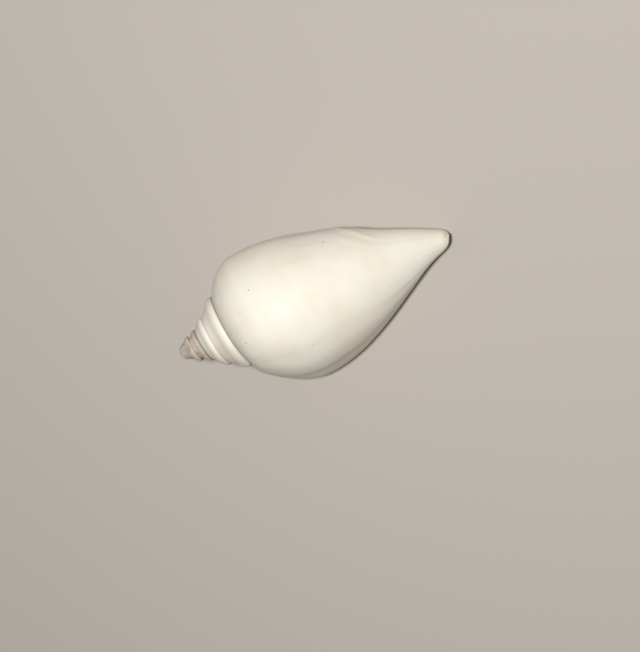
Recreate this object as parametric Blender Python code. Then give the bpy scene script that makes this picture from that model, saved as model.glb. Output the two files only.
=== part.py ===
"""Conch shell of the dog conch kind, resting on its mouth. Metres, Z up.

The skin is first computed in the shell's own frame, in millimetres: depth runs
along the coiling axis from the tip of the spire to the end of the canal, and
each azimuth is an angle around that axis, 180 at the lip's side, 270 at the
back, 360 at the right and 450 in front. The whole is then laid on its mouth.
"""

from math import cos, exp, radians, sin

import bmesh
import bpy
from mathutils import Matrix, Vector

# Driving sizes, in millimetres
LENGTH = 65.0
GIRTH = 0.975
SPIRE_TURNS = 5.0
GROWTH = 0.46
DEPTH_GROWTH = 0.36
SEAM_RADIUS = 11.1
SEAM_TIGHTENING = 0.16
SEAM_DEPTH = 16.3
WORN_TIP = 2.0
WHORL_SWELL = 0.104
SWELL_PEAK = 0.64

# The mouth and its lip
LIP_AZIMUTH = 140.0
LIP_CLIMB = 3.0
LIP_CLIMB_ARC = 70.0
LIP_THICKNESS = 2.7
WALL_THICKNESS = 1.7
CAVITY_ARC = 270.0
CAVITY_ROOF = 2.2

# The canal
CANAL_WALL = 0.6
CANAL_SPAN = 0.75
CANAL_LEAN = 2.2
CANAL_DROP = 2.0
CANAL_END_SLOPE = 3.0
CANAL_END_PEAK = 330.0
TIP_DOME = 0.95
KNOB_SWELL = 0.5
PILLAR_TIP_RADIUS = 0.6
PILLAR_TIP = (1.0, 1.5)

# How full each whorl swells, by turns of its lower seam back from the lip
FULLNESS = ((-5.0, 1.3), (-2.6, 1.25), (-1.4, 1.15), (-0.5, 0.95), (0.0, 0.6))

# Radius of the last whorl at shares of the way from its seam to the canal's end
AT_LIP = ((0.0, 8.9), (0.025, 11.8), (0.08, 16.2), (0.17, 20.6), (0.29, 22.9), (0.38, 22.5),
          (0.47, 21.1), (0.58, 18.5), (0.69, 15.2), (0.80, 11.4), (0.90, 7.3), (1.0, 3.6))
AT_LEFT = ((0.0, 10.3), (0.04, 12.0), (0.12, 14.5), (0.21, 16.3), (0.30, 16.9), (0.47, 15.6),
           (0.58, 13.7), (0.69, 11.2), (0.81, 8.0), (0.92, 4.7), (1.0, 2.3))
AT_BACK = ((0.0, 9.6), (0.03, 12.2), (0.08, 14.6), (0.15, 16.1), (0.235, 16.5), (0.35, 15.6),
           (0.46, 13.9), (0.58, 11.6), (0.69, 8.9), (0.80, 6.2), (0.92, 3.8), (1.0, 2.7))
AT_RIGHT = ((0.0, 8.6), (0.03, 11.1), (0.075, 13.6), (0.135, 15.1), (0.21, 15.3), (0.34, 14.4),
            (0.45, 12.7), (0.56, 11.0), (0.645, 9.2), (0.735, 6.7), (0.85, 4.4), (1.0, 1.7))
AT_FRONT = ((0.0, 7.6), (0.035, 10.2), (0.08, 12.9), (0.13, 14.2), (0.19, 14.3), (0.27, 13.3),
            (0.36, 11.6), (0.45, 9.9), (0.56, 8.0), (0.67, 6.2), (0.78, 4.9), (1.0, 2.6))
AT_INNER_LIP = ((0.0, 7.1), (0.038, 9.0), (0.10, 11.6), (0.17, 12.3), (0.26, 11.3), (0.37, 9.4),
                (0.47, 7.4), (0.58, 5.6), (0.69, 4.5), (0.80, 3.8), (1.0, 2.6))
LIMBS = ((140.0, AT_LIP), (180.0, AT_LEFT), (270.0, AT_BACK), (360.0, AT_RIGHT),
         (450.0, AT_FRONT), (500.0, AT_INNER_LIP))

# How it lies: the spire's raise and the roll that bring the mouth's rim level
REST_TILT = 13.59
REST_ROLL = -7.73
WORN_FLAT = 0.3
SNAP = 0.06

# Fineness of the skin
PER_TURN = 36
SEAM_ROWS = 4
ROWS = 24

SHELL_COLOUR = (0.84, 0.81, 0.74, 1.0)
SHELL_ROUGHNESS = 0.45
MM = 0.001


def clear_scene():
    for old in list(bpy.data.objects):
        bpy.data.objects.remove(old, do_unlink=True)


def smooth(x):
    x = min(1.0, max(0.0, x))
    return x * x * (3.0 - 2.0 * x)


def mix(a, b, x):
    return a + (b - a) * x


def curve(stations, x):
    """Smooth curve through the stations that never swings past them."""
    steps = [(b[1] - a[1]) / (b[0] - a[0]) for a, b in zip(stations, stations[1:])]
    slopes = [steps[0]]
    for a, b in zip(steps, steps[1:]):
        slopes.append(0.0 if a * b <= 0.0 else 2.0 * a * b / (a + b))
    slopes.append(steps[-1])
    i = 0
    while i < len(stations) - 2 and x > stations[i + 1][0]:
        i += 1
    (x0, y0), (x1, y1) = stations[i], stations[i + 1]
    span = x1 - x0
    t = (x - x0) / span
    start = y0 * (1 + 2 * t) * (1 - t) ** 2 + slopes[i] * span * t * (1 - t) ** 2
    end = y1 * t * t * (3 - 2 * t) + slopes[i + 1] * span * t * t * (t - 1)
    return start + end


def limb_radius(azimuth, share):
    return GIRTH * curve([(angle, curve(limb, share)) for angle, limb in LIMBS], azimuth)


def swell(share, turns):
    """Bulge of a spire whorl between its two seams, fuller towards the tip."""
    most = WHORL_SWELL * curve(FULLNESS, turns)
    if share < SWELL_PEAK:
        return most * smooth(share / SWELL_PEAK)
    return most * (1.0 - ((share - SWELL_PEAK) / (1.0 - SWELL_PEAK)) ** 2)


def plain_seam(turns):
    tight = 1.0 - SEAM_TIGHTENING * smooth((turns + 0.6) / 0.5)
    depth = SEAM_DEPTH * exp(DEPTH_GROWTH * turns) - WORN_TIP
    return depth, SEAM_RADIUS * exp(GROWTH * turns) * tight


def seam(turns):
    """Depth and radius of the seam, which climbs the older whorl at the lip."""
    depth, radius = plain_seam(turns)
    climb = smooth(1.0 + turns * 360.0 / LIP_CLIMB_ARC)
    if climb > 0.0:
        older_depth, older_radius = plain_seam(turns - 1.0)
        share = 1.0 - climb * LIP_CLIMB / (depth - older_depth)
        radius = mix(older_radius, radius, share) + radius * swell(share, turns)
        depth -= climb * LIP_CLIMB
    return depth, radius


def spire_point(turns, share):
    """Depth and radius on the spire, between one seam and the next below it."""
    depth_0, radius_0 = seam(turns)
    depth_1, radius_1 = seam(turns + 1.0)
    radius = mix(radius_0, radius_1, share) + radius_1 * swell(share, turns + 1.0)
    knob = KNOB_SWELL * smooth((-3.5 - turns) / 0.7) * smooth((turns + 5.1) / 0.5)
    return mix(depth_0, depth_1, share), radius + knob


def canal_end(azimuth):
    return LENGTH - CANAL_END_SLOPE * (abs(azimuth - CANAL_END_PEAK) / 150.0) ** 2.2


def canal_shift(depth):
    """Offset of the canal from the coiling axis, towards the lip and the front."""
    bend = max(0.0, (depth - 48.0) / 17.0) ** 2
    return -CANAL_LEAN * bend, CANAL_DROP * bend


def spread(depth):
    """Share of the full turn that the last whorl still wraps at this depth."""
    return mix(1.0, CANAL_SPAN, smooth((depth - 36.0) / 18.0))


def wrap(back, start, share):
    """Depth and azimuth, a share of the way from a start depth to the canal's end."""
    depth = start
    for _ in range(3):
        azimuth = LIP_AZIMUTH + back * spread(depth)
        depth = mix(start, canal_end(azimuth), share)
    return depth, LIP_AZIMUTH + back * spread(depth)


def place(depth, radius, azimuth, centre=(0.0, 0.0)):
    shift_x, shift_y = canal_shift(depth)
    angle = radians(azimuth)
    x = centre[0] + radius * cos(angle) + shift_x
    y = centre[1] + radius * sin(angle) + shift_y
    return Vector((x, y, -depth))


CORNER_DEPTH = seam(0.0)[0]
FIRST_SEAM = seam(-1.0)
CORNER_SHARE = (CORNER_DEPTH - FIRST_SEAM[0]) / (LENGTH - FIRST_SEAM[0])


def skin_point(back, share):
    """Depth, radius and azimuth of the last whorl, back degrees behind the lip."""
    seam_depth, seam_radius = seam(-back / 360.0)
    depth, azimuth = wrap(back, seam_depth, share)
    radius = limb_radius(azimuth, share)
    correction = seam_radius - limb_radius(azimuth, 0.0)
    radius += correction * max(0.0, 1.0 - share / 0.05) ** 2
    if back > 300.0 and share < 2.0 * CORNER_SHARE:
        spire_radius = spire_point(-1.0, min(1.0, share / CORNER_SHARE))[1]
        weight = smooth((back - 300.0) / 60.0)
        weight *= 1.0 - smooth((share - CORNER_SHARE) / CORNER_SHARE)
        radius = mix(radius, spire_radius * seam_radius / FIRST_SEAM[1], weight)
    return depth, radius, azimuth


def older_radius(back, depth):
    """Radius of the older whorl inside the mouth, back degrees in from the inner lip."""
    scale = exp(-GROWTH * back / 360.0)
    share = (depth - FIRST_SEAM[0]) / (LENGTH - FIRST_SEAM[0]) / scale ** 0.8
    return GIRTH * scale * curve(AT_INNER_LIP, min(1.0, max(0.0, share)))


def roof(back):
    """Depth and radius where the hollow's roof meets the older whorl."""
    seam_depth, seam_radius = seam(-back / 360.0)
    depth = seam_depth + CAVITY_ROOF * smooth(back / 60.0)
    return depth, mix(seam_radius, older_radius(back, depth), smooth(back / 20.0))


def row_share(row):
    """Share of the way down the last whorl of a row, closer together at the shoulder."""
    if row <= SEAM_ROWS:
        return CORNER_SHARE * row / SEAM_ROWS
    return mix(CORNER_SHARE, 1.0, inner_share(row))


def inner_share(row):
    x = (row - SEAM_ROWS) / (ROWS - SEAM_ROWS)
    return 0.55 * x + 0.45 * x ** 1.6


class Skin:
    """Closed skin of the shell: one grid outside, two in the hollow, welded at seams and rims."""

    def __init__(self):
        self.points = []
        self.faces = []
        self.index = {}

    def vertex(self, key, point=None):
        if key not in self.index:
            self.index[key] = len(self.points)
            self.points.append(point)
        return self.index[key]

    def face(self, *corners):
        loop = list(dict.fromkeys(corners))
        if len(loop) > 2:
            self.faces.append(loop)

    def seam_vertex(self, step):
        depth, radius = seam(step / PER_TURN)
        azimuth = LIP_AZIMUTH - 360.0 * step / PER_TURN
        return self.vertex(("seam", step), place(depth, radius, azimuth))

    def spire(self, step, row):
        if row == 0:
            return self.seam_vertex(step)
        if row == SEAM_ROWS:
            return self.seam_vertex(step + PER_TURN)
        depth, radius = spire_point(step / PER_TURN, row / SEAM_ROWS)
        azimuth = LIP_AZIMUTH - 360.0 * step / PER_TURN
        return self.vertex(("spire", step, row), place(depth, radius, azimuth))

    def outer(self, column, row):
        if row == 0:
            return self.seam_vertex(-column)
        if column == PER_TURN and row <= SEAM_ROWS:
            return self.spire(-PER_TURN, row)
        back = 360.0 * column / PER_TURN
        return self.vertex(("outer", column, row), place(*skin_point(back, row_share(row))))

    def roof_vertex(self, column):
        if column == 0:
            return self.seam_vertex(0)
        back = 360.0 * column / PER_TURN
        return self.vertex(("roof", column), place(*roof(back), LIP_AZIMUTH + back))

    def wall(self, column, row):
        """Inside of the last whorl's wall."""
        if row == SEAM_ROWS:
            return self.roof_vertex(column)
        back = 360.0 * column / PER_TURN
        roof_depth, roof_radius = roof(back)
        depth, azimuth = wrap(back, roof_depth, inner_share(row))
        seam_depth = seam(-back / 360.0)[0]
        share = (depth - seam_depth) / (canal_end(azimuth) - seam_depth)
        thickness = mix(LIP_THICKNESS, WALL_THICKNESS, smooth(back / 50.0))
        thickness = mix(thickness, CANAL_WALL, smooth((depth - 40.0) / 20.0))
        radius = skin_point(back, share)[1] - thickness
        rise = (row - SEAM_ROWS) / (ROWS - SEAM_ROWS) / 0.3
        radius = mix(roof_radius, radius, 1.0 - (1.0 - min(1.0, rise)) ** 2)
        return self.vertex(("wall", column, row), place(depth, radius, azimuth))

    def older(self, column, row):
        """The older whorl and the pillar, seen in the mouth."""
        if row == SEAM_ROWS:
            return self.roof_vertex(column)
        if column == 0:
            return self.outer(PER_TURN, row)
        back = 360.0 * column / PER_TURN
        edge = self.points[self.outer(PER_TURN, row)]
        roof_depth = roof(back)[0]
        along = (row_share(row) - CORNER_SHARE) / (1.0 - CORNER_SHARE)
        depth = -edge.z + (roof_depth - CORNER_DEPTH) * (1.0 - along)
        arm = edge.xy - Vector(canal_shift(-edge.z)) - Vector(pillar_centre(-edge.z))
        start = Vector((1.0, 0.0)).angle_signed(arm)
        turn = back * mix(1.0, 0.8, smooth((depth - 40.0) / 18.0))
        taper = smooth((depth - 34.0) / 20.0)
        pillar = mix(older_radius(back, depth), PILLAR_TIP_RADIUS, taper)
        near_edge = arm.length * exp(-GROWTH * back / 360.0)
        radius = mix(near_edge, pillar, smooth(back / 90.0))
        azimuth = turn - start * 180.0 / radians(180.0)
        return self.vertex(("older", column, row), place(depth, radius, azimuth, pillar_centre(depth)))

    def grid(self, point, columns, rows, inward=False):
        for column in range(*columns):
            for row in range(*rows):
                corners = (point(column, row), point(column + 1, row),
                           point(column + 1, row + 1), point(column, row + 1))
                self.face(*(reversed(corners) if inward else corners))

    def strip(self, left, right):
        """Faces between two chains that may hold different numbers of points."""
        i = k = 0
        while i < len(left) - 1 or k < len(right) - 1:
            left_next = (i + 1) / (len(left) - 1)
            right_next = (k + 1) / (len(right) - 1)
            if k == len(right) - 1 or (i < len(left) - 1 and left_next <= right_next):
                self.face(left[i], left[i + 1], right[k])
                i += 1
            else:
                self.face(left[i], right[k + 1], right[k])
                k += 1

    def tip(self, start):
        ring = [self.spire(step, 0) for step in range(start, start + PER_TURN + 1)]
        ring += [self.spire(start, row) for row in range(SEAM_ROWS - 1, 0, -1)]
        middle = sum((self.points[i] for i in ring), Vector()) / len(ring)
        middle.z = max(self.points[i].z for i in ring) + TIP_DOME
        centre = self.vertex("tip", middle)
        for a, b in zip(ring, ring[1:] + ring[:1]):
            self.face(centre, b, a)

    def build(self):
        start = -round(SPIRE_TURNS * PER_TURN)
        depth_columns = round(CAVITY_ARC / 360.0 * PER_TURN)
        inner_rows = range(SEAM_ROWS, ROWS + 1)
        self.grid(self.spire, (start, -PER_TURN), (0, SEAM_ROWS))
        self.tip(start)
        self.grid(self.outer, (0, PER_TURN), (0, ROWS), inward=True)
        self.grid(self.wall, (0, depth_columns), (SEAM_ROWS, ROWS))
        self.grid(self.older, (0, depth_columns), (SEAM_ROWS, ROWS), inward=True)
        self.strip([self.older(depth_columns, row) for row in inner_rows],
                   [self.wall(depth_columns, row) for row in inner_rows])
        self.strip([self.outer(0, row) for row in range(ROWS, -1, -1)],
                   [self.wall(0, row) for row in reversed(inner_rows)])
        inner_rim = [self.wall(column, ROWS) for column in range(depth_columns + 1)]
        inner_rim += [self.older(column, ROWS) for column in range(depth_columns, -1, -1)]
        self.strip(inner_rim, [self.outer(column, ROWS) for column in range(PER_TURN + 1)])


def pillar_centre(depth):
    x = smooth((depth - 37.0) / 20.0)
    return PILLAR_TIP[0] * x, PILLAR_TIP[1] * x


def laid_down():
    """Turns the shell's own frame to lie on its mouth, canal towards +X and lip towards -Y."""
    lay = Matrix(((0.0, 0.0, -1.0), (1.0, 0.0, 0.0), (0.0, -1.0, 0.0))).to_4x4()
    tilt = Matrix.Rotation(radians(REST_TILT), 4, "Y")
    roll = Matrix.Rotation(radians(REST_ROLL), 4, "X")
    return roll @ tilt @ lay


def wear_flats(mesh):
    """Cuts the small worn flats that the shell rests on, and stands them on the ground."""
    level = min(v.co.z for v in mesh.verts) + WORN_FLAT
    for vertex in mesh.verts:
        if abs(vertex.co.z - level) < SNAP:
            vertex.co.z = level
    everything = mesh.verts[:] + mesh.edges[:] + mesh.faces[:]
    bmesh.ops.bisect_plane(mesh, geom=everything, plane_co=(0.0, 0.0, level),
                           plane_no=(0.0, 0.0, 1.0), clear_inner=True, dist=1e-4)
    rims = [edge for edge in mesh.edges if edge.is_boundary]
    bmesh.ops.holes_fill(mesh, edges=rims, sides=0)


def centre_on_ground(mesh):
    low = Vector([min(v.co[axis] for v in mesh.verts) for axis in range(3)])
    high = Vector([max(v.co[axis] for v in mesh.verts) for axis in range(3)])
    middle = (low + high) / 2.0
    bmesh.ops.translate(mesh, verts=mesh.verts, vec=(-middle.x, -middle.y, -low.z))


def shell_material():
    material = bpy.data.materials.new("shell")
    material.use_nodes = True
    shader = material.node_tree.nodes["Principled BSDF"]
    shader.inputs["Base Color"].default_value = SHELL_COLOUR
    shader.inputs["Roughness"].default_value = SHELL_ROUGHNESS
    shader.inputs["Metallic"].default_value = 0.0
    return material


def make_shell():
    skin = Skin()
    skin.build()
    mesh = bmesh.new()
    vertices = [mesh.verts.new(point) for point in skin.points]
    for face in skin.faces:
        mesh.faces.new([vertices[i] for i in face])
    bmesh.ops.transform(mesh, matrix=laid_down(), verts=mesh.verts)
    wear_flats(mesh)
    centre_on_ground(mesh)
    bmesh.ops.scale(mesh, vec=(MM, MM, MM), verts=mesh.verts)
    bmesh.ops.triangulate(mesh, faces=mesh.faces[:])
    bmesh.ops.recalc_face_normals(mesh, faces=mesh.faces[:])
    data = bpy.data.meshes.new("conch_shell")
    mesh.to_mesh(data)
    mesh.free()
    data.shade_smooth()
    data.set_sharp_from_angle(angle=radians(50.0))
    data.materials.append(shell_material())
    shell = bpy.data.objects.new("conch_shell", data)
    bpy.context.scene.collection.objects.link(shell)
    return shell


clear_scene()
make_shell()
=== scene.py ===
"""Bleached conch shell lying on its mouth, with its worn skin, floor, light and camera."""

from math import radians

import bmesh
import bpy
import numpy as np
from mathutils import Matrix, Vector


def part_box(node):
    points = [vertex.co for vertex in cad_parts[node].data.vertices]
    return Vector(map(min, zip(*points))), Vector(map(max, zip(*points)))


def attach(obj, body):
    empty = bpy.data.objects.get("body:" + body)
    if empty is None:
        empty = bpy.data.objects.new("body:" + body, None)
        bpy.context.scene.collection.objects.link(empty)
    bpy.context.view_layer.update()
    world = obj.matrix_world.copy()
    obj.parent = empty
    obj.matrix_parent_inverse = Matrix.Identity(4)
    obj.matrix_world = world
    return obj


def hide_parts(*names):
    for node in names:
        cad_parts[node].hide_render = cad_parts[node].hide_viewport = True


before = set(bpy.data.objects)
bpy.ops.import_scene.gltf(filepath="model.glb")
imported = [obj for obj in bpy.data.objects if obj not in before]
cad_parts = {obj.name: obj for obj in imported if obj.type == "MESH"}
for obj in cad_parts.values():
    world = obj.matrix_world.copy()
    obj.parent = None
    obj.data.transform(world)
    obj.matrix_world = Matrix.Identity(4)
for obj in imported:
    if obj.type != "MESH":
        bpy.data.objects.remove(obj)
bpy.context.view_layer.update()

# Driving sizes of the shell in its own frame, in millimetres
LENGTH = 65.0
GIRTH = 0.975
SPIRE_TURNS = 5.0
GROWTH = 0.46
DEPTH_GROWTH = 0.36
SEAM_RADIUS = 11.1
SEAM_TIGHTENING = 0.16
SEAM_DEPTH = 16.3
WORN_TIP = 2.0
TIP_DOME = 1.35
WHORL_SWELL = 0.104
SWELL_PEAK = 0.64

# The knob at the tip: how far it stands out, and the turn and span of its two sides
KNOB_SWELL = 0.7
KNOB_START = (-3.5, 0.7)
KNOB_END = (-5.1, 0.5)

# The mouth and its lip
LIP_AZIMUTH = 140.0
LIP_CLIMB = 3.0
LIP_CLIMB_ARC = 70.0
LIP_THICKNESS = 2.7
WALL_THICKNESS = 1.7
CAVITY_ARC = 270.0
CAVITY_ROOF = 2.2
CAVITY_ROOF_ARC = 60.0

# The canal's end and the pillar's tip, which lies aside of the axis and below it
CANAL_WALL = 0.6
CANAL_SPAN = 0.75
CANAL_LEAN = 2.2
CANAL_DROP = 2.0
CANAL_END_SLOPE = 3.0
CANAL_END_PEAK = 330.0
PILLAR_TIP_RADIUS = 0.6
PILLAR_TIP = (1.0, 1.5)

# Changes towards the canal: the depth where each starts and the depth it takes
CANAL_BEND = (48.0, 17.0)
CANAL_NARROWING = (36.0, 18.0)
WALL_THINNING = (40.0, 20.0)
PILLAR_SHIFT = (37.0, 20.0)
PILLAR_TAPER = (34.0, 20.0)
PILLAR_UNWINDING = (40.0, 18.0)

# How full each whorl swells, by turns of its lower seam back from the lip
FULLNESS = ((-5.0, 1.3), (-2.6, 1.25), (-1.4, 1.15), (-0.5, 0.95), (0.0, 0.6))

# Radius of the last whorl at shares of the way from its seam to the canal's end
AT_LIP = ((0.0, 8.9), (0.025, 11.8), (0.08, 16.2), (0.17, 20.6), (0.29, 22.9), (0.38, 22.5),
          (0.47, 21.1), (0.58, 18.5), (0.69, 15.2), (0.80, 11.4), (0.90, 7.3), (1.0, 3.6))
AT_LEFT = ((0.0, 10.3), (0.04, 12.0), (0.12, 14.5), (0.21, 16.3), (0.30, 16.9), (0.47, 15.6),
           (0.58, 13.7), (0.69, 11.2), (0.81, 8.0), (0.92, 4.7), (1.0, 2.3))
AT_BACK = ((0.0, 9.6), (0.03, 12.2), (0.08, 14.6), (0.15, 16.1), (0.235, 16.5), (0.35, 15.6),
           (0.46, 13.9), (0.58, 11.6), (0.69, 8.9), (0.80, 6.2), (0.92, 3.8), (1.0, 2.7))
AT_RIGHT = ((0.0, 8.6), (0.03, 11.1), (0.075, 13.6), (0.135, 15.1), (0.21, 15.3), (0.34, 14.4),
            (0.45, 12.7), (0.56, 11.0), (0.645, 9.2), (0.735, 6.7), (0.85, 4.4), (1.0, 1.7))
AT_FRONT = ((0.0, 7.6), (0.035, 10.2), (0.08, 12.9), (0.13, 14.2), (0.19, 14.3), (0.27, 13.3),
            (0.36, 11.6), (0.45, 9.9), (0.56, 8.0), (0.67, 6.2), (0.78, 4.9), (1.0, 2.6))
AT_INNER_LIP = ((0.0, 7.1), (0.038, 9.0), (0.10, 11.6), (0.17, 12.3), (0.26, 11.3), (0.37, 9.4),
                (0.47, 7.4), (0.58, 5.6), (0.69, 4.5), (0.80, 3.8), (1.0, 2.6))
LIMBS = ((140.0, AT_LIP), (180.0, AT_LEFT), (270.0, AT_BACK), (360.0, AT_RIGHT),
         (450.0, AT_FRONT), (500.0, AT_INNER_LIP))

# How it lies: the spire's raise and the roll that bring the mouth's rim level
REST_TILT = 13.59
REST_ROLL = -7.73

# Fineness of the skin
PER_TURN = 144
SEAM_ROWS = 18
ROWS = 126
RIM_STEPS = 6
RIM_START_ROW = SEAM_ROWS + 9
RIM_SMOOTHINGS = 10
TIP_RINGS = (0.66, 0.33)

# Growth waves along the last whorl, in millimetres and radians
WAVES_PER_TURN = (7.0, 11.0, 17.0)
WAVE_HEIGHT = 0.045
WAVE_PHASE = 1.7
WAVE_LEAN = 0.05

# Cords of the neck: height, spacing and millimetres of depth for each degree around
CORD_HEIGHT = 0.07
CORD_SPACING = 1.5
CORD_LEAN = 0.075
CORD_START = 0.60

# Low fold across the neck: its depth at its middle azimuth, where it starts and ends
FOLD_HEIGHT = 0.18
FOLD_WIDTH = 1.0
FOLD_DEPTH = 45.6
FOLD_LEAN = 0.16
FOLD_AZIMUTHS = (300.0, 335.0, 372.0)
FOLD_FADE = 25.0

# Hollowed band of each spire whorl, at a share of the way between its seams
HOLLOW_DEPTH = 0.2
HOLLOW_SHARE = 0.36
HOLLOW_WIDTH = 0.13

# Rough spot near the shoulder and chip in the worn tip: depth and azimuth, and sizes
SCAR = (13.2, 309.0)
SCAR_HEIGHT = 0.16
SCAR_SIZE = 1.7
SCAR_MM_PER_DEGREE = 0.19
CHIP = (1.7, 285.0)
CHIP_DEPTH = 0.45
CHIP_SIZE = 0.8

# Three dark specks, in the shell's own frame
SPECKS = ((6.0, -14.6, -21.7), (8.6, -8.0, -39.8), (-4.1, -13.1, -16.1))
SPECK_SIZE = 0.26

# How dark and how wide the painted shade line at each seam is, by turns back from the lip
SEAM_SHADE_STRENGTH = ((-6.0, 0.6), (-3.2, 0.7), (-2.9, 1.2), (-2.1, 1.2), (-1.8, 0.75), (-1.0, 0.7),
              (-0.6, 1.1), (-0.12, 1.0), (0.0, 0.6))
SEAM_LINE = ((-6.0, 0.13), (-3.0, 0.13), (-2.8, 0.26), (-2.0, 0.26), (-1.8, 0.13), (-1.0, 0.13),
             (-0.6, 0.22), (0.0, 0.22))

# The fine painted shade line above the darkest seam: its distance, width and share of the seam's
# painted shade
FINE_LINE_GAP = 0.62
FINE_LINE_WIDTH = 0.09
FINE_LINE_SHADE = 0.6

# Turns over which the clean whorls give way to the worn grey tip
WORN_TURNS = (-2.9, -3.1)

# Colours of the shell, from its white ground to the specks' dirt and the painted shade along the
# seams
WHITE = (0.87, 0.835, 0.745, 1.0)
CREAM = (0.83, 0.785, 0.67, 1.0)
ROSE = (0.66, 0.585, 0.52, 1.0)
GREY = (0.46, 0.41, 0.365, 1.0)
SPECK_DIRT = (0.20, 0.17, 0.13, 1.0)
# Dark colour of the painted shade in the seam creases
SEAM_SHADE_COLOUR = (0.27, 0.22, 0.175, 1.0)
WARM_INSIDE = (0.83, 0.73, 0.60, 1.0)

# Surface of the shell: how rough, how glossy, how far light goes in, how deep the grain is
ROUGHNESS = (0.48, 0.64)
GLOSS = 0.36
GLOW_SHARE = 0.12
GLOW_RADIUS = (1.0, 0.8, 0.6)
GLOW_DEPTH = 0.0012
GRAIN_STRENGTH = 0.35
GRAIN_DEPTH = 0.00012

# The floor, whose half size is in metres
FLOOR_COLOUR = (0.50, 0.465, 0.43, 1.0)
FLOOR_HALF = 1.2
FLOOR_ROUGHNESS = 0.85
FLOOR_GLOSS = 0.2

# View, read from the photograph: its frame, the shell's place in it and its scale
FRAME_PX = (640, 652)
SHELL_CENTRE_PX = (313.5, 303.9)
PX_PER_MM = 4.565
VIEW_TILT = 9.0
AXIS_IN_PICTURE = 25.0
CAMERA_DISTANCE = 0.60
SENSOR = 36.0

# The lamp beside the camera, in metres and watts, and the soft room around
KEY_DISTANCE = 0.55
KEY_LEFT = 0.08
KEY_DOWN = 0.005
KEY_SIZE = 0.07
KEY_ENERGY = 3.0
KEY_COLOUR = (1.0, 0.985, 0.955)
ROOM_COLOUR = (1.0, 0.955, 0.86, 1.0)
ROOM_STRENGTH = 0.145

MM = 0.001


def smooth(x):
    x = np.clip(x, 0.0, 1.0)
    return x * x * (3.0 - 2.0 * x)


def mix(a, b, x):
    return a + (b - a) * x


def from_depth(stretch, depth):
    """How far a change has come at a depth, for its start and span."""
    return smooth((depth - stretch[0]) / stretch[1])


def slopes_of(xs, ys):
    """Slopes for a curve through the points that keeps their rises and falls."""
    steps = np.diff(ys, axis=0) / np.diff(xs).reshape((-1,) + (1,) * (ys.ndim - 1))
    before, after = steps[:-1], steps[1:]
    product = before * after
    total = np.where(np.abs(before + after) < 1e-12, 1.0, before + after)
    inner = np.where(product <= 0.0, 0.0, 2.0 * product / total)
    return np.concatenate([steps[:1], inner, steps[-1:]])


def hermite(x0, x1, y0, y1, m0, m1, x):
    span = x1 - x0
    t = (x - x0) / span
    start = y0 * (1 + 2 * t) * (1 - t) ** 2 + m0 * span * t * (1 - t) ** 2
    end = y1 * t * t * (3 - 2 * t) + m1 * span * t * t * (t - 1)
    return start + end


def curve(stations, x):
    """Smooth curve through the stations that never swings past them."""
    xs = np.array([s[0] for s in stations])
    ys = np.array([s[1] for s in stations])
    m = slopes_of(xs, ys)
    i = np.clip(np.searchsorted(xs, x, side="right") - 1, 0, len(xs) - 2)
    return hermite(xs[i], xs[i + 1], ys[i], ys[i + 1], m[i], m[i + 1], x)


def limb_radius(azimuth, share):
    """Radius of the last whorl, between the six limbs that the stations give."""
    angles = np.array([angle for angle, limb in LIMBS])
    radii = np.array([curve(limb, share) for angle, limb in LIMBS])
    m = slopes_of(angles, radii)
    i = np.clip(np.searchsorted(angles, azimuth, side="right") - 1, 0, len(angles) - 2)
    radii_before, radii_after, m_before, m_after = (
        np.take_along_axis(table, k[None], 0)[0] for table in (radii, m) for k in (i, i + 1))
    return GIRTH * hermite(angles[i], angles[i + 1], radii_before, radii_after, m_before,
                           m_after, azimuth)


def swell(share, turns):
    """Bulge of a spire whorl between its two seams, fuller towards the tip."""
    most = WHORL_SWELL * curve(FULLNESS, turns)
    falling = 1.0 - ((share - SWELL_PEAK) / (1.0 - SWELL_PEAK)) ** 2
    return most * np.where(share < SWELL_PEAK, smooth(share / SWELL_PEAK), falling)


def plain_seam(turns):
    """Depth and radius of the spiral seam, by turns back from the lip."""
    tight = 1.0 - SEAM_TIGHTENING * smooth((turns + 0.6) / 0.5)
    depth = SEAM_DEPTH * np.exp(DEPTH_GROWTH * turns) - WORN_TIP
    return depth, SEAM_RADIUS * np.exp(GROWTH * turns) * tight


def seam(turns):
    """Depth and radius of the seam, which climbs the older whorl at the lip."""
    depth, radius = plain_seam(turns)
    climb = smooth(1.0 + turns * 360.0 / LIP_CLIMB_ARC)
    older_depth, older_radius_here = plain_seam(turns - 1.0)
    share = 1.0 - climb * LIP_CLIMB / (depth - older_depth)
    climbed = mix(older_radius_here, radius, share) + radius * swell(share, turns)
    return depth - climb * LIP_CLIMB, np.where(climb > 0.0, climbed, radius)


def spire_point(turns, share):
    """Depth and radius on a spire whorl, whose upper seam is given by its turns."""
    depth_0, radius_0 = seam(turns)
    depth_1, radius_1 = seam(turns + 1.0)
    radius = mix(radius_0, radius_1, share) + radius_1 * swell(share, turns + 1.0)
    knob = smooth((KNOB_START[0] - turns) / KNOB_START[1])
    knob *= smooth((turns - KNOB_END[0]) / KNOB_END[1])
    return mix(depth_0, depth_1, share), radius + KNOB_SWELL * knob


def canal_end(azimuth):
    """Depth of the canal's end, which reaches furthest at one azimuth."""
    return LENGTH - CANAL_END_SLOPE * (np.abs(azimuth - CANAL_END_PEAK) / 150.0) ** 2.2


def canal_shift(depth):
    """How far the canal's end leans aside and drops."""
    bend = np.maximum(0.0, (depth - CANAL_BEND[0]) / CANAL_BEND[1]) ** 2
    return -CANAL_LEAN * bend, CANAL_DROP * bend


def spread(depth):
    """Share of a whole turn that the skin still covers at a depth."""
    return mix(1.0, CANAL_SPAN, from_depth(CANAL_NARROWING, depth))


def wrap(back, start, share):
    """Depth and azimuth at a share of the way from a start to the canal's end."""
    depth = start
    for _ in range(3):
        azimuth = LIP_AZIMUTH + back * spread(depth)
        depth = mix(start, canal_end(azimuth), share)
    return depth, LIP_AZIMUTH + back * spread(depth)


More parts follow.
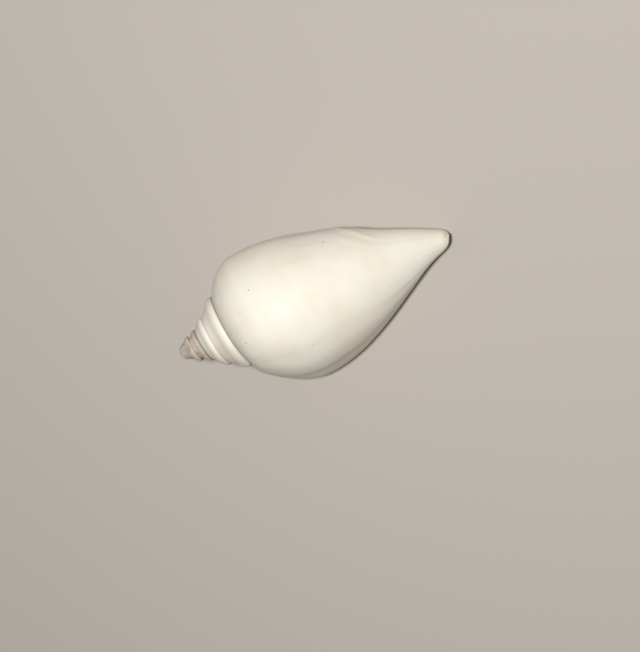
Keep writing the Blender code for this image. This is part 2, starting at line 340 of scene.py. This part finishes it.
def place(depth, radius, azimuth, centre=(0.0, 0.0)):
    """Points in the shell's own frame."""
    shift_x, shift_y = canal_shift(depth)
    angle = np.radians(azimuth)
    x = centre[0] + radius * np.cos(angle) + shift_x
    y = centre[1] + radius * np.sin(angle) + shift_y
    return np.stack([x, y, -depth + 0.0 * x], -1)


def pillar_centre(depth):
    """Where the pillar's middle lies beside the axis."""
    x = from_depth(PILLAR_SHIFT, depth)
    return PILLAR_TIP[0] * x, PILLAR_TIP[1] * x


# The lip's upper corner, and the seam one turn before it
CORNER_DEPTH = float(seam(np.array(0.0))[0])
FIRST_DEPTH, FIRST_RADIUS = (float(part) for part in seam(np.array(-1.0)))
CORNER_SHARE = (CORNER_DEPTH - FIRST_DEPTH) / (LENGTH - FIRST_DEPTH)


def relief(back, share, azimuth, depth):
    """Growth waves, cords, fold and rough spot, added to the outer skin."""
    waves = sum(np.sin(np.radians(back) * n + WAVE_PHASE * n + WAVE_LEAN * depth)
                for n in WAVES_PER_TURN)
    waves *= WAVE_HEIGHT / len(WAVES_PER_TURN) * smooth(share / 0.1) * smooth((1.0 - share) / 0.1)
    waves *= smooth(back / 20.0) * smooth((350.0 - back) / 30.0)
    near_neck = smooth((share - CORD_START) / 0.08) * smooth((azimuth - 285.0) / 40.0)
    near_neck *= smooth((0.97 - share) / 0.1) * smooth((350.0 - back) / 20.0)
    cords = np.sin(2.0 * np.pi * (depth - CORD_LEAN * azimuth) / CORD_SPACING)
    first, middle, last = FOLD_AZIMUTHS
    fold = np.exp(-((depth - FOLD_DEPTH - FOLD_LEAN * (middle - azimuth)) / FOLD_WIDTH) ** 2)
    fold *= smooth((azimuth - first) / FOLD_FADE) * smooth((last - azimuth) / FOLD_FADE)
    reach = np.hypot(depth - SCAR[0], (azimuth - SCAR[1]) * SCAR_MM_PER_DEGREE)
    rough = np.sin(3.1 * depth + 0.4 * azimuth) * np.sin(2.3 * depth - 0.65 * azimuth)
    scar = (0.6 + 0.7 * rough) * (1.0 - smooth(reach / SCAR_SIZE))
    return waves + CORD_HEIGHT * near_neck * cords + FOLD_HEIGHT * fold + SCAR_HEIGHT * scar


def skin_point(back, share, fine=True):
    """Depth, radius and azimuth of the last whorl, back degrees behind the lip."""
    seam_depth, seam_radius = seam(-back / 360.0)
    depth, azimuth = wrap(back, seam_depth, share)
    radius = limb_radius(azimuth, share)
    correction = seam_radius - limb_radius(azimuth, np.zeros_like(azimuth))
    radius = radius + correction * np.maximum(0.0, 1.0 - share / 0.05) ** 2
    spire_radius = spire_point(-1.0 + 0.0 * back, np.minimum(1.0, share / CORNER_SHARE))[1]
    weight = smooth((back - 300.0) / 60.0)
    weight = weight * (1.0 - smooth((share - CORNER_SHARE) / CORNER_SHARE))
    radius = mix(radius, spire_radius * seam_radius / FIRST_RADIUS, weight)
    if fine:
        radius = radius + relief(back, share, azimuth, depth)
    return depth, radius, azimuth


def older_radius(back, depth):
    """Radius of the older whorl inside the mouth, back degrees in from the inner lip."""
    scale = np.exp(-GROWTH * back / 360.0)
    share = (depth - FIRST_DEPTH) / (LENGTH - FIRST_DEPTH) / scale ** 0.8
    return GIRTH * scale * curve(AT_INNER_LIP, np.clip(share, 0.0, 1.0))


def roof(back):
    """Depth and radius where the hollow's roof meets the older whorl."""
    seam_depth, seam_radius = seam(-back / 360.0)
    depth = seam_depth + CAVITY_ROOF * smooth(back / CAVITY_ROOF_ARC)
    return depth, mix(seam_radius, older_radius(back, depth), smooth(back / 20.0))


def inner_share(row):
    """Share of the way down from the shoulder to the canal's end of a row."""
    x = (row - SEAM_ROWS) / (ROWS - SEAM_ROWS)
    return 0.55 * x + 0.45 * np.maximum(x, 0.0) ** 1.6


def row_share(row):
    """Share of the way down the last whorl of a row, closer together at the shoulder."""
    below = mix(CORNER_SHARE, 1.0, inner_share(row))
    return np.where(row <= SEAM_ROWS, CORNER_SHARE * row / SEAM_ROWS, below)


def grid_of(columns, rows):
    return np.meshgrid(np.array(columns, float), np.array(rows, float), indexing="ij")


def outer_grid():
    """The outside of the last whorl."""
    column, row = grid_of(range(PER_TURN + 1), range(ROWS + 1))
    return place(*skin_point(360.0 * column / PER_TURN, row_share(row)))


def spire_grid(first):
    """The whorls of the spire, with their hollowed bands and the chip."""
    step, row = grid_of(range(first, -PER_TURN + 1), range(SEAM_ROWS + 1))
    turns, share = step / PER_TURN, row / SEAM_ROWS
    depth, radius = spire_point(turns, share)
    hollow = np.exp(-((share - HOLLOW_SHARE) / HOLLOW_WIDTH) ** 2) * smooth((turns + 4.2) / 1.2)
    radius = radius - HOLLOW_DEPTH * np.exp(GROWTH * (turns + 1.0)) * hollow
    azimuth = LIP_AZIMUTH - 360.0 * turns
    aside = np.radians((azimuth - CHIP[1] + 180.0) % 360.0 - 180.0) * radius
    away = np.hypot(depth - CHIP[0], aside) / CHIP_SIZE
    return place(depth, radius - CHIP_DEPTH * np.exp(-away ** 2), azimuth)


def seam_line(turns, share):
    """How much painted shade lies along the seams, at a share of the way down the whorl under a
    seam.
    """
    height = seam(turns + 1.0)[0] - seam(turns)[0]
    above, below = share * height, (1.0 - share) * height
    dark = curve(SEAM_SHADE_STRENGTH, turns) * np.exp(-(above / curve(SEAM_LINE, turns)) ** 2)
    lower = curve(SEAM_SHADE_STRENGTH, turns + 1.0)
    dark += lower * np.exp(-(below / curve(SEAM_LINE, turns + 1.0)) ** 2)
    fine = np.exp(-((below - FINE_LINE_GAP) / FINE_LINE_WIDTH) ** 2)
    return dark + FINE_LINE_SHADE * fine * smooth((lower - 1.0) / 0.2)


def wear(turns):
    """How worn and grey the whorl under a seam is."""
    return smooth((WORN_TURNS[0] - turns) / (WORN_TURNS[0] - WORN_TURNS[1]))


def spire_marks(first):
    """Painted seam shade and real wear of the spire's grid."""
    step, row = grid_of(range(first, -PER_TURN + 1), range(SEAM_ROWS + 1))
    turns = step / PER_TURN
    return seam_line(turns, row / SEAM_ROWS), wear(turns)


def outer_marks():
    """Painted seam shade on the last whorl's rows next to its seam."""
    column, row = grid_of(range(PER_TURN + 1), range(SEAM_ROWS + 1))
    turns = -column / PER_TURN
    below = (LENGTH - seam(turns)[0]) * row_share(row)
    return curve(SEAM_SHADE_STRENGTH, turns) * np.exp(-(below / curve(SEAM_LINE, turns)) ** 2)


def wall_grid(depth_columns):
    """The inside of the last whorl's wall, from the roof down to the canal."""
    column, row = grid_of(range(depth_columns + 1), range(SEAM_ROWS, ROWS + 1))
    back = 360.0 * column / PER_TURN
    roof_depth, roof_radius = roof(back)
    depth, azimuth = wrap(back, roof_depth, inner_share(row))
    seam_depth = seam(-back / 360.0)[0]
    share = (depth - seam_depth) / (canal_end(azimuth) - seam_depth)
    thickness = mix(LIP_THICKNESS, WALL_THICKNESS, smooth(back / 50.0))
    thickness = mix(thickness, CANAL_WALL, from_depth(WALL_THINNING, depth))
    radius = skin_point(back, share, fine=False)[1] - thickness
    rise = (row - SEAM_ROWS) / (ROWS - SEAM_ROWS) / 0.3
    radius = mix(roof_radius, radius, 1.0 - (1.0 - np.minimum(1.0, rise)) ** 2)
    points = place(depth, radius, azimuth)
    points[:, 0] = place(roof_depth[:, 0], roof_radius[:, 0], LIP_AZIMUTH + back[:, 0])
    return points


def older_grid(depth_columns, edge):
    """The older whorl and the pillar in the mouth, starting from the inner lip's edge."""
    column, row = grid_of(range(depth_columns + 1), range(SEAM_ROWS, ROWS + 1))
    back = 360.0 * column / PER_TURN
    roof_depth, roof_radius = roof(back)
    edge_depth = -edge[None, :, 2]
    along = (row_share(row) - CORNER_SHARE) / (1.0 - CORNER_SHARE)
    depth = edge_depth + (roof_depth - CORNER_DEPTH) * (1.0 - along)
    shift_x, shift_y = canal_shift(edge_depth)
    middle_x, middle_y = pillar_centre(edge_depth)
    arm_x = edge[None, :, 0] - shift_x - middle_x
    arm_y = edge[None, :, 1] - shift_y - middle_y
    turn = back * mix(1.0, 0.8, from_depth(PILLAR_UNWINDING, depth))
    pillar = mix(older_radius(back, depth), PILLAR_TIP_RADIUS, from_depth(PILLAR_TAPER, depth))
    near_edge = np.hypot(arm_x, arm_y) * np.exp(-GROWTH * back / 360.0)
    radius = mix(near_edge, pillar, smooth(back / 90.0))
    azimuth = turn + np.degrees(np.arctan2(arm_y, arm_x))
    points = place(depth, radius, azimuth, pillar_centre(depth))
    points[:, 0] = place(roof_depth[:, 0], roof_radius[:, 0], LIP_AZIMUTH + back[:, 0])
    return points


class Skin:
    """Closed skin: one grid outside, two in the hollow, welded at seams and rims."""

    def __init__(self):
        self.first = -round(SPIRE_TURNS * PER_TURN)
        self.depth_columns = round(CAVITY_ARC / 360.0 * PER_TURN)
        self.outer_points = outer_grid()
        self.spire_points = spire_grid(self.first)
        self.spire_grime, self.spire_wear = spire_marks(self.first)
        self.outer_seam_shade = outer_marks()
        self.wall_points = wall_grid(self.depth_columns)
        self.older_points = older_grid(self.depth_columns, self.outer_points[-1, SEAM_ROWS:])
        self.points = []
        self.inside = []
        self.grime = []
        self.worn = []
        self.faces = []
        self.index = {}

    def vertex(self, key, point, inside=0.0, grime=0.0, worn=0.0):
        if key not in self.index:
            self.index[key] = len(self.points)
            self.points.append(point)
            self.inside.append(inside)
            self.grime.append(grime)
            self.worn.append(worn)
        return self.index[key]

    def face(self, *corners):
        loop = list(dict.fromkeys(corners))
        if len(loop) > 2:
            self.faces.append(loop)

    def seam_vertex(self, step):
        if step > -PER_TURN:
            return self.vertex(("seam", step), self.outer_points[-step, 0], 0.0,
                               self.outer_seam_shade[-step, 0])
        n = step - self.first
        return self.vertex(("seam", step), self.spire_points[n, 0], 0.0, self.spire_grime[n, 0],
                           self.spire_wear[n, 0])

    def spire(self, step, row):
        if row == 0:
            return self.seam_vertex(step)
        if row == SEAM_ROWS:
            return self.seam_vertex(step + PER_TURN)
        n = step - self.first
        return self.vertex(("spire", step, row), self.spire_points[n, row], 0.0,
                           self.spire_grime[n, row], self.spire_wear[n, row])

    def outer(self, column, row):
        if row == 0:
            return self.seam_vertex(-column)
        if column == PER_TURN and row <= SEAM_ROWS:
            return self.spire(-PER_TURN, row)
        grime = self.outer_seam_shade[column, row] if row <= SEAM_ROWS else 0.0
        return self.vertex(("outer", column, row), self.outer_points[column, row], 0.0, grime)

    def roof_vertex(self, column):
        if column == 0:
            return self.seam_vertex(0)
        return self.vertex(("roof", column), self.wall_points[column, 0], 1.0)

    def wall(self, column, row):
        if row == SEAM_ROWS:
            return self.roof_vertex(column)
        inside = 1.0 if column > 0 else 0.5
        return self.vertex(("wall", column, row), self.wall_points[column, row - SEAM_ROWS], inside)

    def older(self, column, row):
        if row == SEAM_ROWS:
            return self.roof_vertex(column)
        if column == 0:
            return self.outer(PER_TURN, row)
        return self.vertex(("older", column, row), self.older_points[column, row - SEAM_ROWS], 1.0)

    def grid(self, point, columns, rows, inward=False):
        for column in range(*columns):
            for row in range(*rows):
                corners = (point(column, row), point(column + 1, row),
                           point(column + 1, row + 1), point(column, row + 1))
                self.face(*(reversed(corners) if inward else corners))

    def strip(self, left, right):
        """Triangles between two chains that may differ in length."""
        i = k = 0
        while i < len(left) - 1 or k < len(right) - 1:
            left_next = (i + 1) / (len(left) - 1)
            right_next = (k + 1) / (len(right) - 1)
            if k == len(right) - 1 or (i < len(left) - 1 and left_next <= right_next):
                self.face(left[i], left[i + 1], right[k])
                i += 1
            else:
                self.face(left[i], right[k + 1], right[k])
                k += 1

    def thick_edge(self, name, left, right):
        """Several rows of faces between two chains, so that the edge can be rounded."""
        ends = np.array([self.points[i] for i in left])
        along_left = np.linspace(0.0, len(left) - 1.0, len(right))
        whole = np.minimum(along_left.astype(int), len(left) - 2)
        part = (along_left - whole)[:, None]
        start = ends[whole] * (1.0 - part) + ends[whole + 1] * part
        stop = np.array([self.points[i] for i in right])
        chains = [left]
        for step in range(1, RIM_STEPS):
            middle = mix(start, stop, step / RIM_STEPS)
            chains.append([right[n] if right[n] in (left[0], left[-1]) else
                           self.vertex((name, step, n), middle[n], step / RIM_STEPS)
                           for n in range(len(right))])
        chains.append(right)
        for one, other in zip(chains, chains[1:]):
            self.strip(one, other)

    def tip(self):
        """Closes the worn tip with a low dome."""
        ring = [self.spire(step, 0) for step in range(self.first, self.first + PER_TURN + 1)]
        ring += [self.spire(self.first, row) for row in range(SEAM_ROWS - 1, 0, -1)]
        points = np.array([self.points[i] for i in ring])
        middle = points.mean(0)
        middle[2] = points[:, 2].max() + TIP_DOME
        rings = [ring]
        for step in TIP_RINGS:
            lift = np.sqrt(1.0 - step * step)
            inner = middle + (points - middle) * step
            inner[:, 2] = mix(points[:, 2], middle[2], lift)
            rings.append([self.vertex(("tip", step, n), inner[n], worn=1.0)
                          for n in range(len(ring))])
        for one, other in zip(rings, rings[1:]):
            for n in range(len(ring)):
                after = (n + 1) % len(ring)
                self.face(other[n], other[after], one[after], one[n])
        centre = self.vertex("tip", middle, worn=1.0)
        last = rings[-1]
        for a, b in zip(last, last[1:] + last[:1]):
            self.face(centre, b, a)

    def build(self):
        inner_rows = range(SEAM_ROWS, ROWS + 1)
        self.grid(self.spire, (self.first, -PER_TURN), (0, SEAM_ROWS))
        self.tip()
        self.grid(self.outer, (0, PER_TURN), (0, ROWS), inward=True)
        self.grid(self.wall, (0, self.depth_columns), (SEAM_ROWS, ROWS))
        self.grid(self.older, (0, self.depth_columns), (SEAM_ROWS, ROWS), inward=True)
        self.strip([self.older(self.depth_columns, row) for row in inner_rows],
                   [self.wall(self.depth_columns, row) for row in inner_rows])
        self.thick_edge("lip", [self.outer(0, row) for row in range(ROWS, -1, -1)],
                        [self.wall(0, row) for row in reversed(inner_rows)])
        inner_rim = [self.wall(column, ROWS) for column in range(self.depth_columns + 1)]
        inner_rim += [self.older(column, ROWS) for column in range(self.depth_columns, -1, -1)]
        self.strip(inner_rim, [self.outer(column, ROWS) for column in range(PER_TURN + 1)])


def round_rims(mesh, skin):
    """Softens the lip, the inner lip and the canal's end."""
    rim = set()
    for row in range(RIM_START_ROW, ROWS + 1):
        rim.update((skin.outer(0, row), skin.wall(0, row), skin.outer(PER_TURN, row)))
    for column in range(PER_TURN + 1):
        rim.add(skin.outer(column, ROWS))
    for column in range(skin.depth_columns + 1):
        rim.update((skin.wall(column, ROWS), skin.older(column, ROWS)))
    rim.update(i for key, i in skin.index.items() if key[0] == "lip")
    mesh.verts.ensure_lookup_table()
    near = {mesh.verts[i] for i in rim}
    for _ in range(2):
        near |= {edge.other_vert(v) for v in near for edge in v.link_edges}
    near = list(near)
    for _ in range(RIM_SMOOTHINGS):
        bmesh.ops.smooth_vert(mesh, verts=near, factor=0.5, use_axis_x=True,
                              use_axis_y=True, use_axis_z=True)


def laid_down():
    """Turns the shell's own frame so that it lies on its mouth, the canal towards +X."""
    lay = Matrix(((0.0, 0.0, -1.0), (1.0, 0.0, 0.0), (0.0, -1.0, 0.0))).to_4x4()
    tilt = Matrix.Rotation(radians(REST_TILT), 4, "Y")
    roll = Matrix.Rotation(radians(REST_ROLL), 4, "X")
    return roll @ tilt @ lay


def make_shell():
    """The fine shell, laid down and set into the solid's box."""
    skin = Skin()
    skin.build()
    mesh = bmesh.new()
    own = mesh.verts.layers.float_vector.new("own")
    inside = mesh.verts.layers.float.new("inside")
    # Layer holding the painted shade along the seams
    grime = mesh.verts.layers.float.new("grime")
    worn = mesh.verts.layers.float.new("worn")
    for point, deep, dark, grey in zip(skin.points, skin.inside, skin.grime, skin.worn):
        vertex = mesh.verts.new(Vector(point))
        vertex[own] = Vector(point)
        vertex[inside] = deep
        vertex[grime] = dark
        vertex[worn] = grey
    mesh.verts.ensure_lookup_table()
    for face in skin.faces:
        mesh.faces.new([mesh.verts[i] for i in face])
    round_rims(mesh, skin)
    bmesh.ops.transform(mesh, matrix=laid_down(), verts=mesh.verts)
    corners = [Vector(c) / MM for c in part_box("conch_shell")]
    low = Vector([min(v.co[axis] for v in mesh.verts) for axis in range(3)])
    high = Vector([max(v.co[axis] for v in mesh.verts) for axis in range(3)])
    shift = (corners[0] + corners[1] - low - high) / 2.0
    shift.z = corners[1].z - high.z
    bmesh.ops.translate(mesh, verts=mesh.verts, vec=shift)
    for vertex in mesh.verts:
        if vertex.co.z < corners[0].z:
            vertex.co.z = corners[0].z
    bmesh.ops.scale(mesh, vec=(MM, MM, MM), verts=mesh.verts)
    bmesh.ops.recalc_face_normals(mesh, faces=mesh.faces[:])
    data = bpy.data.meshes.new("fine_shell")
    mesh.to_mesh(data)
    mesh.free()
    data.shade_smooth()
    shell = bpy.data.objects.new("fine_shell", data)
    bpy.context.scene.collection.objects.link(shell)
    return shell


class Nodes:
    """Small helper that adds and links shader nodes."""

    def __init__(self, name):
        self.material = bpy.data.materials.new(name)
        self.material.use_nodes = True
        self.tree = self.material.node_tree
        self.shader = self.tree.nodes["Principled BSDF"]

    def add(self, kind, inputs=(), **settings):
        node = self.tree.nodes.new(kind)
        for key, value in settings.items():
            setattr(node, key, value)
        for socket, value in dict(inputs).items():
            self.set(node.inputs[socket], value)
        return node

    def set(self, socket, value):
        if isinstance(value, bpy.types.NodeSocket):
            self.tree.links.new(value, socket)
        else:
            socket.default_value = value

    def noise(self, vector, scale, detail, rough):
        node = self.add("ShaderNodeTexNoise", {"Vector": vector, "Scale": scale, "Detail": detail,
                                               "Roughness": rough})
        return node.outputs["Fac"]

    def fit(self, value, low, high, to_low=0.0, to_high=1.0):
        node = self.add("ShaderNodeMapRange", {"Value": value, "From Min": low, "From Max": high,
                                               "To Min": to_low, "To Max": to_high},
                        interpolation_type="SMOOTHSTEP")
        return node.outputs["Result"]

    def math(self, operation, a, b=0.0):
        return self.add("ShaderNodeMath", {0: a, 1: b}, operation=operation).outputs[0]

    def times(self, a, b):
        return self.math("MULTIPLY", a, b)

    def attribute(self, name, output="Fac"):
        return self.add("ShaderNodeAttribute", attribute_name=name).outputs[output]

    def blend(self, share, a, b):
        node = self.add("ShaderNodeMix", data_type="RGBA")
        for socket, value in ((0, share), (6, a), (7, b)):
            self.set(node.inputs[socket], value)
        return node.outputs[2]


def shell_material():
    n = Nodes("bleached_shell")
    own = n.attribute("own", "Vector")
    grime = n.attribute("grime")
    x, y, z = n.add("ShaderNodeSeparateXYZ", {"Vector": own}).outputs
    radius = n.math("SQRT", n.math("ADD", n.times(x, x), n.times(y, y)))
    safe = n.math("MAXIMUM", radius, 0.5)
    around = n.add("ShaderNodeCombineXYZ", {"X": n.math("DIVIDE", x, safe),
                                            "Y": n.math("DIVIDE", y, safe),
                                            "Z": n.times(z, 0.006)}).outputs[0]
    growth = n.noise(around, scale=26.0, detail=6.0, rough=0.7)
    broad_growth = n.noise(around, scale=5.0, detail=3.0, rough=0.6)
    clouds = n.noise(own, scale=0.09, detail=4.0, rough=0.6)
    grain = n.noise(own, scale=4.0, detail=6.0, rough=0.7)
    chalk = n.noise(own, scale=0.6, detail=5.0, rough=0.65)

    # Ground, growth bands, the tip's rose, the worn tip and a darker rose patch on one side below
    # the second seam
    colour = n.blend(n.fit(clouds, 0.42, 0.68), WHITE, CREAM)
    colour = n.blend(n.times(n.fit(broad_growth, 0.5, 0.75), 0.14), colour, ROSE)
    colour = n.blend(n.times(n.fit(z, -8.5, -5.0), 0.3), colour, ROSE)
    colour = n.blend(n.attribute("worn"), colour, n.blend(n.fit(chalk, 0.35, 0.7), ROSE, GREY))
    # Darker rose patch on the -x side of the whorl below the second seam
    darker_patch = n.times(n.fit(z, -11.6, -9.0), n.times(n.fit(z, -6.8, -8.4), n.fit(x, 1.5, -4.0)))
    colour = n.blend(n.times(darker_patch, 0.55), colour, ROSE)

    # Pits and specks, painted shade along the seam creases and the warmer inside
    pits = n.add("ShaderNodeTexVoronoi", {"Vector": own, "Scale": 0.11}, feature="F1")
    speck = n.fit(pits.outputs["Distance"], 0.024, 0.012)
    for spot in SPECKS:
        away = n.add("ShaderNodeVectorMath", {0: own, 1: spot}, operation="DISTANCE")
        dot = n.fit(away.outputs["Value"], SPECK_SIZE, 0.4 * SPECK_SIZE)
        speck = n.math("MAXIMUM", speck, dot)
    colour = n.blend(n.times(speck, 0.55), colour, SPECK_DIRT)
    # Painted shade: a dark line along the seam creases
    colour = n.blend(n.times(grime, 0.9), colour, SEAM_SHADE_COLOUR)
    colour = n.blend(n.times(n.attribute("inside"), 0.35), colour, WARM_INSIDE)

    n.set(n.shader.inputs["Base Color"], colour)
    n.set(n.shader.inputs["Roughness"], n.fit(chalk, 0.3, 0.7, *ROUGHNESS))
    n.set(n.shader.inputs["Specular IOR Level"], GLOSS)
    n.set(n.shader.inputs["Subsurface Weight"], GLOW_SHARE)
    n.set(n.shader.inputs["Subsurface Radius"], GLOW_RADIUS)
    n.set(n.shader.inputs["Subsurface Scale"], GLOW_DEPTH)
    height = n.math("ADD", n.times(growth, 0.4), n.times(grain, 0.25))
    height = n.math("SUBTRACT", height, n.times(speck, 1.2))
    bump = n.add("ShaderNodeBump", {"Strength": GRAIN_STRENGTH, "Distance": GRAIN_DEPTH,
                                    "Height": height})
    n.set(n.shader.inputs["Normal"], bump.outputs["Normal"])
    return n.material


def floor_material():
    n = Nodes("pale_floor")
    n.set(n.shader.inputs["Base Color"], FLOOR_COLOUR)
    n.set(n.shader.inputs["Roughness"], FLOOR_ROUGHNESS)
    n.set(n.shader.inputs["Specular IOR Level"], FLOOR_GLOSS)
    return n.material


def make_floor():
    data = bpy.data.meshes.new("floor")
    corners = ((-1.0, -1.0), (1.0, -1.0), (1.0, 1.0), (-1.0, 1.0))
    data.from_pydata([(FLOOR_HALF * x, FLOOR_HALF * y, 0.0) for x, y in corners], [],
                     [(0, 1, 2, 3)])
    floor = bpy.data.objects.new("floor", data)
    floor.data.materials.append(floor_material())
    bpy.context.scene.collection.objects.link(floor)


def view_axes():
    """Directions towards the camera, to its right and up, from the shell's own axes."""
    turn = laid_down().to_3x3()
    tilt = radians(VIEW_TILT)
    toward = turn @ Vector((0.0, -np.cos(tilt), -np.sin(tilt)))
    along = turn @ Vector((0.0, 0.0, -1.0))
    along = (along - toward * along.dot(toward)).normalized()
    across = toward.cross(along)
    angle = radians(AXIS_IN_PICTURE)
    right = along * np.cos(angle) - across * np.sin(angle)
    up = along * np.sin(angle) + across * np.cos(angle)
    return toward, right, up


def make_camera(shell):
    """Camera that puts the shell where the photograph has it, at the same scale."""
    toward, right, up = view_axes()
    spots = [shell.matrix_world @ v.co for v in shell.data.vertices]
    span_right = [p.dot(right) for p in spots]
    span_up = [p.dot(up) for p in spots]
    span_toward = [p.dot(toward) for p in spots]
    centre = right * (min(span_right) + max(span_right)) / 2.0
    centre += up * (min(span_up) + max(span_up)) / 2.0
    centre += toward * (min(span_toward) + max(span_toward)) / 2.0
    offset_right = (FRAME_PX[0] / 2.0 - SHELL_CENTRE_PX[0]) / PX_PER_MM * MM
    offset_down = (FRAME_PX[1] / 2.0 - SHELL_CENTRE_PX[1]) / PX_PER_MM * MM
    target = centre + right * offset_right - up * offset_down
    data = bpy.data.cameras.new("camera")
    data.sensor_fit = "HORIZONTAL"
    data.sensor_width = SENSOR
    frame_width = FRAME_PX[0] / PX_PER_MM * MM
    data.lens = SENSOR * CAMERA_DISTANCE / frame_width
    camera = bpy.data.objects.new("camera", data)
    spot = target + toward * CAMERA_DISTANCE
    turn = Matrix((right, up, toward)).transposed()
    camera.matrix_world = Matrix.Translation(spot) @ turn.to_4x4()
    bpy.context.scene.collection.objects.link(camera)
    bpy.context.scene.camera = camera
    return target, (toward, right, up)


def make_lights(target, axes):
    toward, right, up = axes
    spot = target + toward * KEY_DISTANCE - right * KEY_LEFT - up * KEY_DOWN
    data = bpy.data.lights.new("key", "AREA")
    data.shape = "DISK"
    data.size = KEY_SIZE
    data.energy = KEY_ENERGY
    data.color = KEY_COLOUR
    light = bpy.data.objects.new("key", data)
    light.location = spot
    light.rotation_euler = (target - spot).to_track_quat("-Z", "Y").to_euler()
    bpy.context.scene.collection.objects.link(light)
    world = bpy.data.worlds.new("soft_room")
    world.use_nodes = True
    background = world.node_tree.nodes["Background"]
    background.inputs["Color"].default_value = ROOM_COLOUR
    background.inputs["Strength"].default_value = ROOM_STRENGTH
    bpy.context.scene.world = world
    bpy.context.scene.view_settings.view_transform = "Standard"


shell = make_shell()
shell.data.materials.append(shell_material())
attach(shell, "root")
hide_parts("conch_shell")
make_floor()
target, axes = make_camera(shell)
make_lights(target, axes)
